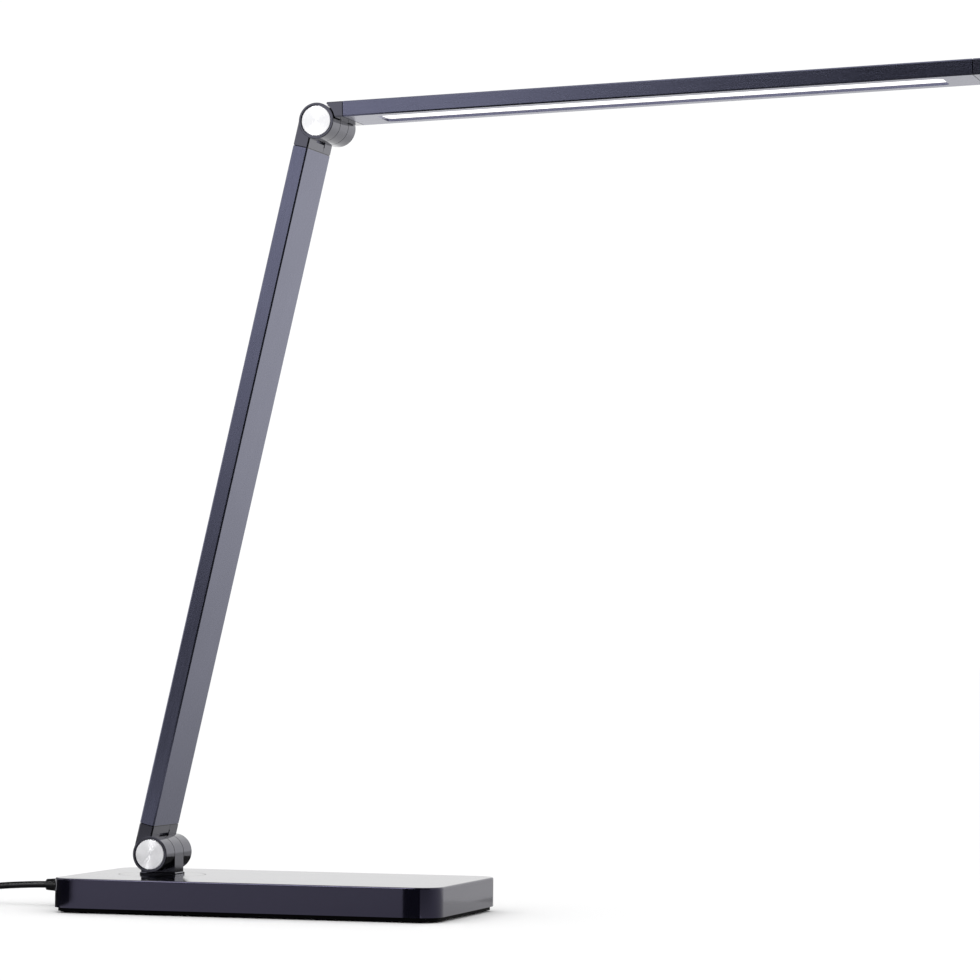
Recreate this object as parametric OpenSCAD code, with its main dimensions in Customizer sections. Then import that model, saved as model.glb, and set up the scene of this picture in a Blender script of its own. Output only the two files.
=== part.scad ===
// Folding LED desk lamp. Millimetres. +X is the long side of the base (the way the
// head reaches), +Y runs to the far side, +Z is up, and Z = 0 is the table.
// A flush turntable carries a post, and two stacked friction hinges carry the arm
// and the head. Each hinge is three knuckles on one bolt between spun discs.

/* [Base] */
// Length of the base along X
base_w = 200; // [150:1:260]
// Depth of the base along Y
base_d = 106; // [90:1:150]
// Corner radius of the base seen from above
base_corner = 11; // [8:0.5:24]
// Height of the shell above the bottom cover
shell_h = 14.5; // [14:0.5:24]
// Thickness of the shell's side walls
shell_wall = 2.2; // [1.8:0.1:3.0]
// Thickness of the shell's top
shell_top = 2.4; // [2.2:0.1:3.2]
// Radius of the rounded top edge
edge_round = 0.8; // [0.4:0.1:1.4]
// Thickness of the bottom cover
cover_t = 1.8; // [1.8:0.1:3.0]
// Distance of the cover's rim behind the shell's sides
cover_inset = 1.6; // [0.8:0.1:1.8]
// Distance of the cover screws from the base's middle along X
cover_screw_x = 70; // [50:1:72]
// Distance of the cover screws from the shell's front and back
cover_screw_edge = 10; // [8:0.5:14]

/* [Feet] */
// Diameter of each rubber foot
foot_d = 14; // [10:0.5:18]
// Height of each foot
foot_h = 1.2; // [1.0:0.1:1.6]
// How far each foot stands out below the cover
foot_proud = 0.8; // [0.3:0.1:1.0]
// Distance of the feet from the base's ends
foot_edge_x = 16; // [14:0.5:26]
// Distance of the feet from the base's front and back
foot_edge_y = 16; // [14:0.5:26]

/* [Ballast and board] */
// Thickness of the steel ballast plate
ballast_t = 10; // [6:0.5:10]
// Length of the control board
board_w = 40; // [30:1:44]
// Depth of the control board
board_d = 52; // [40:1:56]
// Thickness of the control board
board_t = 1.6; // [1.2:0.2:2.0]
// Gap between board and ballast all round
board_gap = 2; // [1:0.5:4]
// Width of the power jack
jack_size = 8.4; // [8:0.1:8.6]
// Length of the power jack
jack_len = 13; // [11:0.5:14]

/* [Turntable] */
// Distance of the turning post from the base's middle
post_x = -60.5; // [-64:0.5:-56]
// Diameter of the flush turntable
turntable_d = 43; // [34:0.5:50]
// Thickness of the turntable
turntable_t = 1.8; // [1.4:0.1:1.8]
// Gap round the turntable's rim
rim_gap = 0.3; // [0.2:0.05:0.6]
// Outside diameter of the hollow hub
hub_d = 22; // [21:0.5:26]
// Bore of the hollow hub
hub_bore = 17; // [16:0.5:18]
// Running clearance on the radius
run_gap = 0.05; // [0.03:0.01:0.09]

/* [Hinges] */
// Diameter of the hinge knuckles
knuckle_d = 18; // [17:0.5:22]
// Length of the three knuckles together
knuckle_stack = 36; // [34:0.5:40]
// Thickness of each friction washer between knuckles
washer_t = 0.5; // [0.3:0.1:0.7]
// Diameter of the hinge bolt
axle_d = 8; // [7:0.5:8]
// Diameter of the spun cover discs
disc_d = 14.8; // [14:0.1:15]
// Depth of the seat that the cover disc lies in
disc_seat = 0.8; // [0.6:0.1:1.0]
// Shadow gap round each cover disc
disc_gap = 0.6; // [0.1:0.1:0.8]
// Chamfer on the outside edge of the outer knuckles
knuckle_edge = 0.3; // [0.1:0.05:0.5]
// Clear height between the base and the knuckles of the lower hinge
hinge_rise = 1.7; // [1.4:0.1:7]
// Width of the step round the foot of the post
post_step = 0.5; // [0.3:0.1:1.0]
// Height of the step round the foot of the post
post_step_h = 1.3; // [0.8:0.1:2.0]

/* [Arm] */
// Distance between the two hinge axes
arm_reach = 374; // [300:1:450]
// Lean of the arm from upright, in degrees
arm_lean = 12.9; // [-20:0.1:40]
// Width of the arm and the head across Y
bar_w = 35.4; // [33:0.1:35.6]
// Thickness of the arm and the head
bar_t = 7.8; // [7:0.1:8]
// Bevel on the long edges
bevel = 0.7; // [0.4:0.1:1.0]
// Wall of the arm tube
arm_wall = 1.2; // [1.0:0.1:1.6]
// Distance from a hinge axis to the seam of the end cap
cap_len = 14.2; // [14:0.1:17]
// Room between a middle knuckle and the bottom of the gap in the fork
fork_depth = 1; // [0.8:0.1:1.4]
// Width of the groove where a cap meets its tube
seam_w = 0.4; // [0.2:0.1:0.8]
// Depth of the groove where a cap meets its tube
seam_d = 0.3; // [0.1:0.05:0.5]

/* [Head] */
// Tilt of the head above level, in degrees
head_tilt = 2; // [-20:0.1:30]
// Distance from the upper axis to the head's outer end
head_reach = 341.5; // [300:0.5:360]
// Length of the outer end cap
end_cap_len = 14; // [8:0.5:20]
// Distance from the upper axis to the near end of the light slot
slot_start = 29; // [27:0.5:40]
// Length of the light slot
slot_len = 283; // [220:0.5:284]
// Width of the light slot
slot_w = 21.2; // [16:0.1:23]
// Corner radius of the light slot
slot_corner = 3; // [1:0.5:6]
// Wall of the head under the light
slot_wall = 1.4; // [1.2:0.1:1.8]
// Wall of the head above the light
head_wall = 1.4; // [1.2:0.1:1.6]
// Half width of the chamber for the light
chamber_half = 12.6; // [12.4:0.1:12.8]
// Number of light sources
led_count = 30; // [12:1:36]

/* [Cord and adapter] */
// Diameter of the cord
cord_d = 3.5; // [3:0.1:4]
// Diameter of the plug's grip
grip_d = 10; // [9:0.5:11]
// Length of the plug's grip
grip_len = 17.3; // [15:0.1:20]
// Mean diameter of the coiled cord
coil_mean_d = 40; // [36:1:42]
// Length of the adapter case
adapter_len = 60; // [50:1:66]
// Thickness of the adapter case
adapter_w = 32; // [28:1:36]
// Height of the adapter case as it lies
adapter_h = 26; // [26:1:32]

/* [Hidden] */
$fn = 96;
e = 0.5;

// heights in the base
cover_z = foot_proud;
shell_z = cover_z + cover_t;
top_z = shell_z + shell_h;
ceil_z = top_z - shell_top;
half_w = base_w / 2;
half_d = base_d / 2;
bite = 0.2;            // how far fused lumps of one piece reach into each other
snug = 0.02;           // clearance on the radius of parts that are screwed or pressed
foot_room = 0.1;
foot_lip = 0.3;
pillar_d = 7.4;
board_pillar_d = 5.4;
pad_d = 10;
pad_spots = [0.36, 0.84];
pad_side = 0.5;
cover_thread_d = 2.6;
cover_pilot_d = 2.7;
cover_pilot_h = 9;
cover_clear_d = 3.2;
cover_sink_d = 6.4;
cover_sink_h = 1.6;
cover_head_d = 6;
cover_head_h = 1.7;
cover_thread_h = 7;
cover_hex_d = 2.2;
cover_hex_h = 1;
cover_sunk = 0.1;      // how far the heads lie inside the cover
board_pilot_d = 2.1;
board_pilot_h = 4.2;
board_clear_d = 2.6;
board_thread_d = 2;
board_thread_h = 3.6;
board_head_d = 4.2;
board_head_h = 1.4;
jack_rib_t = 1.8;
jack_rib_rise = 4;
jack_hole_d = 8;

// turning parts
hub_hole = hub_d + 2 * run_gap;
seat_z = top_z - turntable_t;
collar_d = hub_d + 12;
swivel_washer_t = 0.8;
swivel_nut_t = 2.9;
nut_slot_in = 1.4;
nut_slot_w = 4;
wire_d = 2;
wire_floor = shell_z + 0.2 + wire_d / 2;
nut_room = 0.2;        // between the wires and the nut that crosses them
nut_z = wire_floor + wire_d / 2 + nut_room;
collar_z = nut_z + swivel_nut_t + swivel_washer_t;
collar_h = seat_z - collar_z;
nut_d = hub_d + 8;
post_screw_x = 4.2;
post_screw_y = 3.2;
post_screw_d = 2.5;
post_screw_pilot = 2.6;
post_screw_clear = 3.1;
post_head_d = 5;
post_head_h = 1.8;
post_bite_h = 4.6;     // thread inside the post
post_pilot_h = 5;

// ballast and board
ballast_left = half_w - 18;
ballast_right = half_w - 5;
ballast_half = half_d - 4.7;
ballast_corner = 8;
nut_well = 5;          // room round the nut in the ballast
screw_well_d = 8;
channel_y0 = -2;       // channel for the wires
channel_y1 = 5.6;
screw_y = half_d - cover_screw_edge;
board_x = -6;
board_z = ceil_z - 6.5;
board_hole_in = 3.5;
jack_z = ceil_z - 4.3;
wire_hole = 2.6;
wire_side = -6.4;
wire_bend_r = 2;
wire_rise = 2.2;       // straight end of the base's wire below the post's
wire_join = 4.4;       // height above the wire's floor where the post's wire begins
wire_reach = 7.2;      // how far a wire runs past a hinge line
supply_y = 3.4;
wire_in = 4;           // from the board's edge to the wires
// parts on the board: places from its middle, and sizes
inductor_at = [4, -14];
inductor = [7, 7, 3.6];
capacitor_at = [[12, 4], [12, 12]];
capacitor_d = 6;
capacitor_h = 3.8;
driver_at = [-4, 8];
driver_chip = [6, 9, 1.6];
touch_at = [-5, -12];
touch_chip = [5, 5, 1.4];
connector_at = [-19, -4];
connector = [6, 12, 3.4];
touch_pad_x = 4;
touch_pad_d = 9;
touch_pad_pitch = 14;
solder_in = 1.5;       // from the jack's inner end to its wire
jack_bore = 5.6;
jack_bore_len = 9;
jack_pin_d = 2;
jack_pin_start = 2;
foot_x = half_w - foot_edge_x;
foot_y = half_d - foot_edge_y;
foot_spots = [[0, 0], [-foot_x, -foot_y], [-foot_x, foot_y], [foot_x, -foot_y],
              [foot_x, foot_y]];

// hinges
knuckle_r = knuckle_d / 2;
post_h = hinge_rise + knuckle_r;
axis_z = top_z + post_h;
foot_bevel = 0.4;
stack_half = knuckle_stack / 2;
knuckle_len = knuckle_stack / 3;
mid_half = knuckle_len / 2;
fork_in = mid_half + washer_t;
fork_z = knuckle_r + fork_depth;
disc_t = 0.7;
cap_counter_d = disc_d - 1.8;
counter_y = stack_half - 4;
seat_y = stack_half - disc_seat;
disc_seat_d = disc_d + 2 * disc_gap;
axle_hole = axle_d + 2 * run_gap;
axle_snug = axle_d + 2 * snug;
thread_d = 6;
bolt_head_h = 2.6;
bolt_hex_d = 5.8;
bolt_hex_h = 2;
bolt_short = 0.1;      // the shank ends this far inside the knuckle it clamps
head_room = 0.2;       // clearance round the bolt's head
washer_inset = 0.25;
// a pair of cup springs, mouth to mouth
spring_r = 6.1;
spring_bore_r = 3.1;
spring_t = 0.4;
spring_cup = 0.25;
spring_h = 2 * (spring_t + spring_cup);
hinge_nut_h = 1.8;
hinge_nut_d = 11.5;
swing_room = 0.8;      // between the fork's knuckles and the head
swing_r = knuckle_r + swing_room;

// arm and head bars lie between these distances from their hinge lines
bar_out = knuckle_r;
bar_in = knuckle_r - bar_t;
bar_mid = (bar_out + bar_in) / 2;
bar_half = bar_w / 2;
rib_y = 3.8;
rib_w = 4.6;
screw_bore = 2.5;
screw_d = 2.4;
screw_clear_d = 2.8;
tenon_gap = 0.1;
tenon_len = 10;
hollow_x = bar_t - 2 * arm_wall;
hollow_half = bar_half - arm_wall;
rib_out = rib_y + rib_w / 2;
cap_head_d = 4;
cap_head_h = 1.6;
cap_sink_d = 4.3;
cap_sink_h = 2;
cap_screw_h = 9;
wire_end = 0.2;        // gap between two wires that lead on into each other
relief_d = 1.8;        // notch in the corner of the fork's gap
relief_h = 1.4;
relief_y = fork_in - 0.7;
parting_w = 0.3;       // line from the notch to the seam
parting_d = 0.2;

head_root = 5.7;       // the head's bar starts here, outside the fork's knuckles
head_seam = 14.1;
head_screw_seat = 11.2;
head_screw_h = 1.5;
head_screw_d = 4.1;
head_sink_d = 4.4;
head_thread_h = 8;
head_end = head_reach - end_cap_len;
chamber_lo = bar_in + slot_wall;
chamber_hi = bar_out - head_wall;
port_y = 14.6;
strip_start = slot_start - 2.5;
strip_len = slot_len + 5;
strip_half = chamber_half - 0.1;
diffuser_t = 1.2;
led_board_t = 1.2;
led_h = 0.8;
led_w = 3.5;
led_d = 2.8;
head_bend_r = 1.4;
reflector_wall = 1.4;

// Cord points: distance from the base's left side, Y, and height above the floor
// line as a share of the jack's height above it.
cord_r = cord_d / 2;
lead_route = [[-19, 0, 1], [-24, 0, 1], [-32, 0, 0.97], [-40, 0, 0.92],
              [-48, 0, 0.85], [-56, 0, 0.75], [-64, 0, 0.6], [-72, 0, 0.42],
              [-80, 0, 0.26], [-88, 0, 0.14], [-96, 0, 0.07], [-104, 0, 0.05],
              [-112, 0, 0.07]];
coil_at = [-112, -25.25];
coil_w = 4 * cord_d;
coil_h = 3 * cord_d;
tie_t = 0.6;
tie_w = 6;
plug_d = 5.5;
plug_bore = 2.6;
plug_in = 8.5;         // how far the plug reaches into the jack
plug_gap = 0.2;        // between the grip and the base
plug_web = 0.8;
grip_edge = 0.4;
grip_end = 1;
relief_len = 5.2;
relief_root_d = 6.4;
relief_tip_d = 5.6;
relief_floor = 1.6;
socket_d = cord_d + 0.1;
socket_len = 3;
adapter_relief_len = 15;
adapter_relief_d = 7;
adapter_tip_d = 5;
adapter_corner = 4;
adapter_edge = 1.5;
tail_route = [[-130, -22, 12], [-130.2, -30, 12.6], [-130.2, -38, 12.9],
              [-130.2, -46, 13], [-130.2, -54, 13], [-130.2, -62, 13]];
adapter_at = [-130.2, -76];
blade_len = 17;
blade_w = 6.3;
blade_t = 1.5;
blade_half = 6.35;     // half the distance between the blades' middles
blade_edge = 12;       // from the case's far end to the blades

// ---------- shared shapes ----------

module round_rect(w, d, r) {
    square([w - 2 * r, d], center = true);
    square([w, d - 2 * r], center = true);
    for (sx = [-1, 1], sy = [-1, 1])
        translate([sx * (w / 2 - r), sy * (d / 2 - r)])
            circle(r = r);
}

module slab(w, d, r, h) {
    linear_extrude(h)
        round_rect(w, d, r);
}

module quarter_disc(r) {
    intersection() {
        circle(r = r);
        square(r);
    }
}

// slab with its top edge rounded
module soft_slab(w, d, r, h, f) {
    slab(w, d, r, h - f);
    translate([0, 0, h - f])
        slab(w - 2 * f, d - 2 * f, r - f, f);
    translate([0, 0, h - f]) {
        for (s = [0, 180])
            rotate([0, 0, s])
                translate([w / 2 - f, -(d / 2 - r), 0])
                    rotate([90, 0, 180])
                        mirror([1, 0, 0])
                            linear_extrude(d - 2 * r)
                                quarter_disc(f);
        for (s = [0, 180])
            rotate([0, 0, s])
                translate([w / 2 - r, d / 2 - f, 0])
                    rotate([90, 0, 270])
                        mirror([1, 0, 0])
                            linear_extrude(w - 2 * r)
                                quarter_disc(f);
        for (i = [0:3])
            translate([(i == 0 || i == 3 ? 1 : -1) * (w / 2 - r),
                       (i < 2 ? 1 : -1) * (d / 2 - r), 0])
                rotate([0, 0, 90 * i])
                    rotate_extrude(angle = 90)
                        translate([r - f, 0])
                            quarter_disc(f);
    }
}

// Y axis cylinder between two distances
module across(d, y0, y1) {
    translate([0, y0, 0])
        rotate([-90, 0, 0])
            cylinder(d = d, h = y1 - y0);
}

// X axis cylinder between two distances
module along(d, x0, x1) {
    translate([x0, 0, 0])
        rotate([0, 90, 0])
            cylinder(d = d, h = x1 - x0);
}

// section of the bars: X is the thickness, Y the width
module bar_section(inset = 0) {
    x0 = -bar_out + inset;
    x1 = -bar_in - inset;
    y = bar_half - inset;
    polygon([[x0 + bevel, -y], [x1 - bevel, -y], [x1, -y + bevel], [x1, y - bevel],
             [x1 - bevel, y], [x0 + bevel, y], [x0, y - bevel], [x0, -y + bevel]]);
}

// a quarter bend of round wire from +X (at the origin) up to +Z
module wire_bend(r) {
    translate([0, 0, r])
        rotate([90, 0, 0])
            rotate([0, 0, 270])
                rotate_extrude(angle = 90, $fn = 48)
                    translate([r, 0])
                        circle(d = wire_d);
}

module at_post() {
    translate([post_x, 0, 0])
        children();
}

// the arm's own frame: Z runs up the arm from the lower axis
module in_arm() {
    translate([post_x, 0, axis_z])
        rotate([0, arm_lean, 0])
            children();
}

module at_upper() {
    in_arm()
        translate([0, 0, arm_reach])
            children();
}

// the head's own frame: X runs out along the head from the upper axis
module in_head() {
    translate([post_x + arm_reach * sin(arm_lean), 0,
               axis_z + arm_reach * cos(arm_lean)])
        rotate([0, -head_tilt, 0])
            children();
}

// the cord's frame starts at the base's left side
module in_cord() {
    translate([-half_w, 0, 0])
        children();
}

function unit(v) = v / norm(v);
function heading(p, i) =
    unit(p[min(i + 1, len(p) - 1)] - p[max(i - 1, 0)]);
function side_of(t) = unit(cross(t, [0, 0, 1]));
function ring(p, i, r) =
    let (t = heading(p, i), a = side_of(t), b = cross(a, t))
    [for (k = [0:7]) p[i] + r * (cos(45 * k + 22.5) * a + sin(45 * k + 22.5) * b)];

// round cord through a list of points, in eight sides
module cord_sweep(p, r) {
    n = len(p);
    rings = [for (i = [0:n - 1]) each ring(p, i, r)];
    sides = [for (i = [0:n - 2], k = [0:7])
             [8 * i + k, 8 * i + (k + 1) % 8, 8 * i + 8 + (k + 1) % 8, 8 * i + 8 + k]];
    ends = [[for (k = [7:-1:0]) k], [for (k = [0:7]) 8 * (n - 1) + k]];
    polyhedron(rings, concat(sides, ends));
}

// ---------- base ----------

module base_shell() {
    color([0.13, 0.13, 0.16])
    difference() {
        union() {
            difference() {
                translate([0, 0, shell_z])
                    soft_slab(base_w, base_d, base_corner, shell_h, edge_round);
                translate([0, 0, shell_z - e])
                    slab(base_w - 2 * shell_wall, base_d - 2 * shell_wall,
                         base_corner - shell_wall, ceil_z - shell_z + e);
            }
            // collar under the turntable
            at_post()
                translate([0, 0, collar_z])
                    cylinder(d = collar_d, h = ceil_z - collar_z + bite);
            // pillars for the cover screws
            for (sx = [-1, 1], sy = [-1, 1])
                translate([sx * cover_screw_x, sy * screw_y, shell_z])
                    cylinder(d = pillar_d, h = ceil_z - shell_z + bite);
            // pillars for the board
            for (sx = [-1, 1], sy = [-1, 1])
                translate([board_x + sx * (board_w / 2 - board_hole_in),
                           sy * (board_d / 2 - board_hole_in), board_z + board_t])
                    cylinder(d = board_pillar_d, h = ceil_z - board_z - board_t + bite);
            // pads that hold the ballast down
            for (x = pad_spots, sy = [-1, 1])
                translate([x * half_w, sy * pad_side * half_d, shell_z + ballast_t])
                    cylinder(d = pad_d, h = ceil_z - shell_z - ballast_t + bite);
            // ribs beside the power jack
            for (sy = [-1, 1])
                translate([-half_w + shell_wall - bite,
                           sy * (jack_size / 2 + run_gap + jack_rib_t / 2)
                           - jack_rib_t / 2, shell_z + jack_rib_rise])
                    cube([jack_len - 2, jack_rib_t,
                          ceil_z - shell_z - jack_rib_rise + bite]);
        }
        at_post() {
            translate([0, 0, seat_z])
                cylinder(d = turntable_d + 2 * rim_gap, h = turntable_t + e);
            translate([0, 0, collar_z - e])
                cylinder(d = hub_hole, h = collar_h + 2 * e);
        }
        for (sx = [-1, 1], sy = [-1, 1])
            translate([sx * cover_screw_x, sy * screw_y, shell_z - e])
                cylinder(d = cover_pilot_d, h = cover_pilot_h + e);
        for (sx = [-1, 1], sy = [-1, 1])
            translate([board_x + sx * (board_w / 2 - board_hole_in),
                       sy * (board_d / 2 - board_hole_in), board_z])
                cylinder(d = board_pilot_d, h = board_t + board_pilot_h);
        translate([-half_w, 0, jack_z])
            along(jack_hole_d, -e, shell_wall + e);
    }
}

module bottom_cover() {
    color([0.16, 0.16, 0.18])
    difference() {
        translate([0, 0, cover_z])
            slab(base_w - 2 * cover_inset, base_d - 2 * cover_inset,
                 base_corner - cover_inset, cover_t);
        for (spot = foot_spots)
            translate([spot[0], spot[1], cover_z - e])
                cylinder(d = foot_d + 2 * foot_room, h = foot_h - foot_proud + e);
        for (sx = [-1, 1], sy = [-1, 1]) {
            translate([sx * cover_screw_x, sy * screw_y, cover_z - e])
                cylinder(d = cover_clear_d, h = cover_t + 2 * e);
            translate([sx * cover_screw_x, sy * screw_y, cover_z - 0.01])
                cylinder(d1 = cover_sink_d, d2 = cover_clear_d, h = cover_sink_h);
        }
    }
}

module rubber_feet() {
    color([0.08, 0.08, 0.08])
    for (spot = foot_spots)
        translate([spot[0], spot[1], 0]) {
            cylinder(d1 = foot_d - 2 * foot_lip, d2 = foot_d, h = foot_lip);
            translate([0, 0, foot_lip])
                cylinder(d = foot_d, h = foot_h - foot_lip);
        }
}

module cover_screws() {
    color([0.7, 0.7, 0.72])
    for (sx = [-1, 1], sy = [-1, 1])
        translate([sx * cover_screw_x, sy * screw_y, cover_z + cover_sunk])
            difference() {
                union() {
                    cylinder(d1 = cover_head_d, d2 = cover_thread_d, h = cover_head_h);
                    translate([0, 0, cover_head_h])
                        cylinder(d = cover_thread_d, h = cover_thread_h);
                }
                translate([0, 0, -0.01])
                    cylinder(d = cover_hex_d, h = cover_hex_h, $fn = 6);
            }
}

module ballast_plate() {
    color([0.45, 0.45, 0.47])
    difference() {
        translate([(ballast_right - ballast_left) / 2, 0, shell_z])
            slab(ballast_left + ballast_right, 2 * ballast_half, ballast_corner,
                 ballast_t);
        at_post()
            translate([0, 0, shell_z - e])
                cylinder(d = nut_d + 2 * nut_well, h = ballast_t + 2 * e);
        translate([board_x - board_w / 2 - board_gap, -board_d / 2 - board_gap,
                   shell_z - e])
            cube([board_w + 2 * board_gap, board_d + 2 * board_gap,
                  ballast_t + 2 * e]);
        // channel for the wires
        translate([-half_w, channel_y0, shell_z - e])
            cube([half_w + board_x - board_w / 2 + 1, channel_y1 - channel_y0,
                  ballast_t + 2 * e]);
        for (sx = [-1, 1], sy = [-1, 1])
            translate([sx * cover_screw_x, sy * screw_y, shell_z - e])
                cylinder(d = screw_well_d, h = ballast_t + 2 * e);
    }
}

module control_board() {
    color([0.1, 0.32, 0.18])
    difference() {
        translate([board_x - board_w / 2, -board_d / 2, board_z])
            cube([board_w, board_d, board_t]);
        for (sx = [-1, 1], sy = [-1, 1])
            translate([board_x + sx * (board_w / 2 - board_hole_in),
                       sy * (board_d / 2 - board_hole_in), board_z - e])
                cylinder(d = board_clear_d, h = board_t + 2 * e);
    }
}

// block under the board, from its corner
module hung_block(at, size) {
    translate([at[0], at[1], -size[2]])
        cube(size);
}

module board_parts() {
    color([0.12, 0.12, 0.13])
    translate([board_x, 0, board_z]) {
        // inductor in a square case, capacitors, driver chip and touch chip
        hung_block(inductor_at, inductor);
        for (spot = capacitor_at)
            translate([spot[0], spot[1], -capacitor_h])
                cylinder(d = capacitor_d, h = capacitor_h);
        hung_block(driver_at, driver_chip);
        hung_block(touch_at, touch_chip);
        // wire connector
        translate([connector_at[0], connector_at[1], board_t])
            cube(connector);
    }
}

module board_screws() {
    color([0.72, 0.72, 0.74])
    for (sx = [-1, 1], sy = [-1, 1])
        translate([board_x + sx * (board_w / 2 - board_hole_in),
                   sy * (board_d / 2 - board_hole_in), board_z - board_head_h]) {
            cylinder(d = board_head_d, h = board_head_h);
            translate([0, 0, board_head_h])
                cylinder(d = board_thread_d, h = board_t + board_thread_h);
        }
}

module touch_pads() {
    color([0.3, 0.3, 0.3])
    for (k = [-1:1])
        translate([board_x + touch_pad_x, touch_pad_pitch * k, board_z + board_t])
            cylinder(d = touch_pad_d, h = ceil_z - board_z - board_t);
}

module power_jack() {
    color([0.1, 0.1, 0.1])
    translate([-half_w + shell_wall, 0, jack_z]) {
        difference() {
            translate([0, -jack_size / 2, -jack_size / 2])
                cube([jack_len, jack_size, jack_size]);
            along(jack_bore, -e, jack_bore_len);
        }
        along(jack_pin_d, jack_pin_start, jack_bore_len + bite);
    }
}

module supply_wire() {
    color([0.7, 0.08, 0.06])
    translate([0, supply_y, wire_floor]) {
        x0 = -half_w + shell_wall + jack_len - solder_in;
        x1 = board_x - board_w / 2 + wire_in;
        along(wire_d, x0 + wire_bend_r, x1 - wire_bend_r);
        translate([x1 - wire_bend_r, 0, 0])
            wire_bend(wire_bend_r);
        translate([x1, 0, wire_bend_r])
            cylinder(d = wire_d, h = board_z - wire_floor - wire_bend_r);
        translate([x0 + wire_bend_r, 0, 0])
            mirror([1, 0, 0])
                wire_bend(wire_bend_r);
        translate([x0, 0, wire_bend_r])
            cylinder(d = wire_d,
                     h = jack_z - jack_size / 2 - wire_floor - wire_bend_r);
    }
}

module base_wire() {
    color([0.1, 0.1, 0.1])
    translate([0, 0, wire_floor]) {
        x0 = post_x + wire_side;
        x1 = board_x - board_w / 2 + wire_in;
        along(wire_d, x0 + wire_bend_r, x1 - wire_bend_r);
        translate([x1 - wire_bend_r, 0, 0])
            wire_bend(wire_bend_r);
        translate([x1, 0, wire_bend_r])
            cylinder(d = wire_d, h = board_z - wire_floor - wire_bend_r);
        translate([x0 + wire_bend_r, 0, 0])
            mirror([1, 0, 0])
                wire_bend(wire_bend_r);
        translate([x0, 0, wire_bend_r])
            cylinder(d = wire_d, h = wire_rise);
    }
}

// ---------- turning post ----------

module turntable() {
    color([0.12, 0.12, 0.15])
    at_post()
        difference() {
            union() {
                translate([0, 0, seat_z])
                    cylinder(d = turntable_d, h = turntable_t);
                translate([0, 0, nut_z])
                    cylinder(d = hub_d, h = seat_z - nut_z + bite);
            }
            translate([0, 0, nut_z - 1])
                cylinder(d = hub_bore, h = seat_z - nut_z + 1);
            translate([wire_side, 0, seat_z - e])
                cylinder(d = wire_hole, h = turntable_t + 2 * e);
            for (sy = [-1, 1])
                translate([post_screw_x, post_screw_y * sy, seat_z - e])
                    cylinder(d = post_screw_clear, h = turntable_t + 2 * e);
        }
}

module swivel_washer() {
    color([0.75, 0.75, 0.72])
    at_post()
        translate([0, 0, nut_z + swivel_nut_t])
            difference() {
                cylinder(d = nut_d - 2, h = swivel_washer_t);
                translate([0, 0, -e])
                    cylinder(d = hub_hole, h = swivel_washer_t + 2 * e);
            }
}

module swivel_nut() {
    color([0.68, 0.68, 0.7])
    at_post()
        translate([0, 0, nut_z])
            difference() {
                cylinder(d = nut_d, h = swivel_nut_t);
                translate([0, 0, -e])
                    cylinder(d = hub_d + 2 * snug, h = swivel_nut_t + 2 * e);
                // spanner slots
                for (a = [45:90:315])
                    rotate([0, 0, a])
                        translate([nut_d / 2 - nut_slot_in, -nut_slot_w / 2, -e])
                            cube([2 * nut_slot_in, nut_slot_w, swivel_nut_t + 2 * e]);
            }
}

// side view of the post's foot, wider than the post and bevelled above
module foot_profile(half) {
    w = half + post_step;
    polygon([[-w, 0], [w, 0], [w, post_step_h - foot_bevel],
             [w - foot_bevel, post_step_h], [foot_bevel - w, post_step_h],
             [-w, post_step_h - foot_bevel]]);
}

module post_foot() {
    intersection() {
        rotate([90, 0, 0])
            linear_extrude(knuckle_len + 2 * post_step, center = true)
                foot_profile(knuckle_r);
        rotate([90, 0, 90])
            linear_extrude(knuckle_d + 2 * post_step, center = true)
                foot_profile(mid_half);
    }
}

module hinge_post() {
    color([0.1, 0.1, 0.12])
    at_post()
        difference() {
            union() {
                translate([-knuckle_r, -mid_half, top_z])
                    cube([knuckle_d, knuckle_len, post_h]);
                translate([0, 0, axis_z])
                    across(knuckle_d, -mid_half, mid_half);
                translate([0, 0, top_z])
                    post_foot();
            }
            translate([0, 0, axis_z])
                across(axle_hole, -mid_half - e, mid_half + e);
            translate([wire_side, 0, top_z - e])
                cylinder(d = wire_hole, h = post_h + knuckle_r + 2 * e);
            for (sy = [-1, 1])
                translate([post_screw_x, post_screw_y * sy, top_z - e])
                    cylinder(d = post_screw_pilot, h = post_pilot_h + e);
        }
}

module post_screws() {
    color([0.7, 0.7, 0.72])
    at_post()
        for (sy = [-1, 1])
            translate([post_screw_x, post_screw_y * sy, seat_z - post_head_h]) {
                cylinder(d = post_head_d, h = post_head_h);
                translate([0, 0, post_head_h])
                    cylinder(d = post_screw_d, h = turntable_t + post_bite_h);
            }
}

module post_wire() {
    color([0.1, 0.1, 0.1])
    at_post()
        translate([wire_side, 0, wire_floor + wire_join])
            cylinder(d = wire_d, h = axis_z + wire_reach - wire_floor - wire_join);
}

// ---------- friction hinge parts, in a hinge's own frame ----------

module hinge_bolt() {
    color([0.66, 0.66, 0.68])
    difference() {
        union() {
            across(cap_counter_d - 2 * head_room, -counter_y - bolt_head_h, -counter_y);
            across(axle_d, -counter_y, counter_y - bolt_short);
            across(thread_d, counter_y - bolt_short, seat_y - bolt_short);
        }
        translate([0, -counter_y - bolt_head_h - e, 0])
            rotate([-90, 0, 0])
                cylinder(d = bolt_hex_d, h = bolt_hex_h + e, $fn = 6);
    }
}

module hinge_nut() {
    color([0.7, 0.7, 0.72])
    translate([0, counter_y + spring_h, 0])
        rotate([-90, 0, 0])
            difference() {
                cylinder(d = hinge_nut_d, h = hinge_nut_h, $fn = 6);
                translate([0, 0, -e])
                    cylinder(d = thread_d + 2 * snug, h = hinge_nut_h + 2 * e);
            }
}

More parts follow.
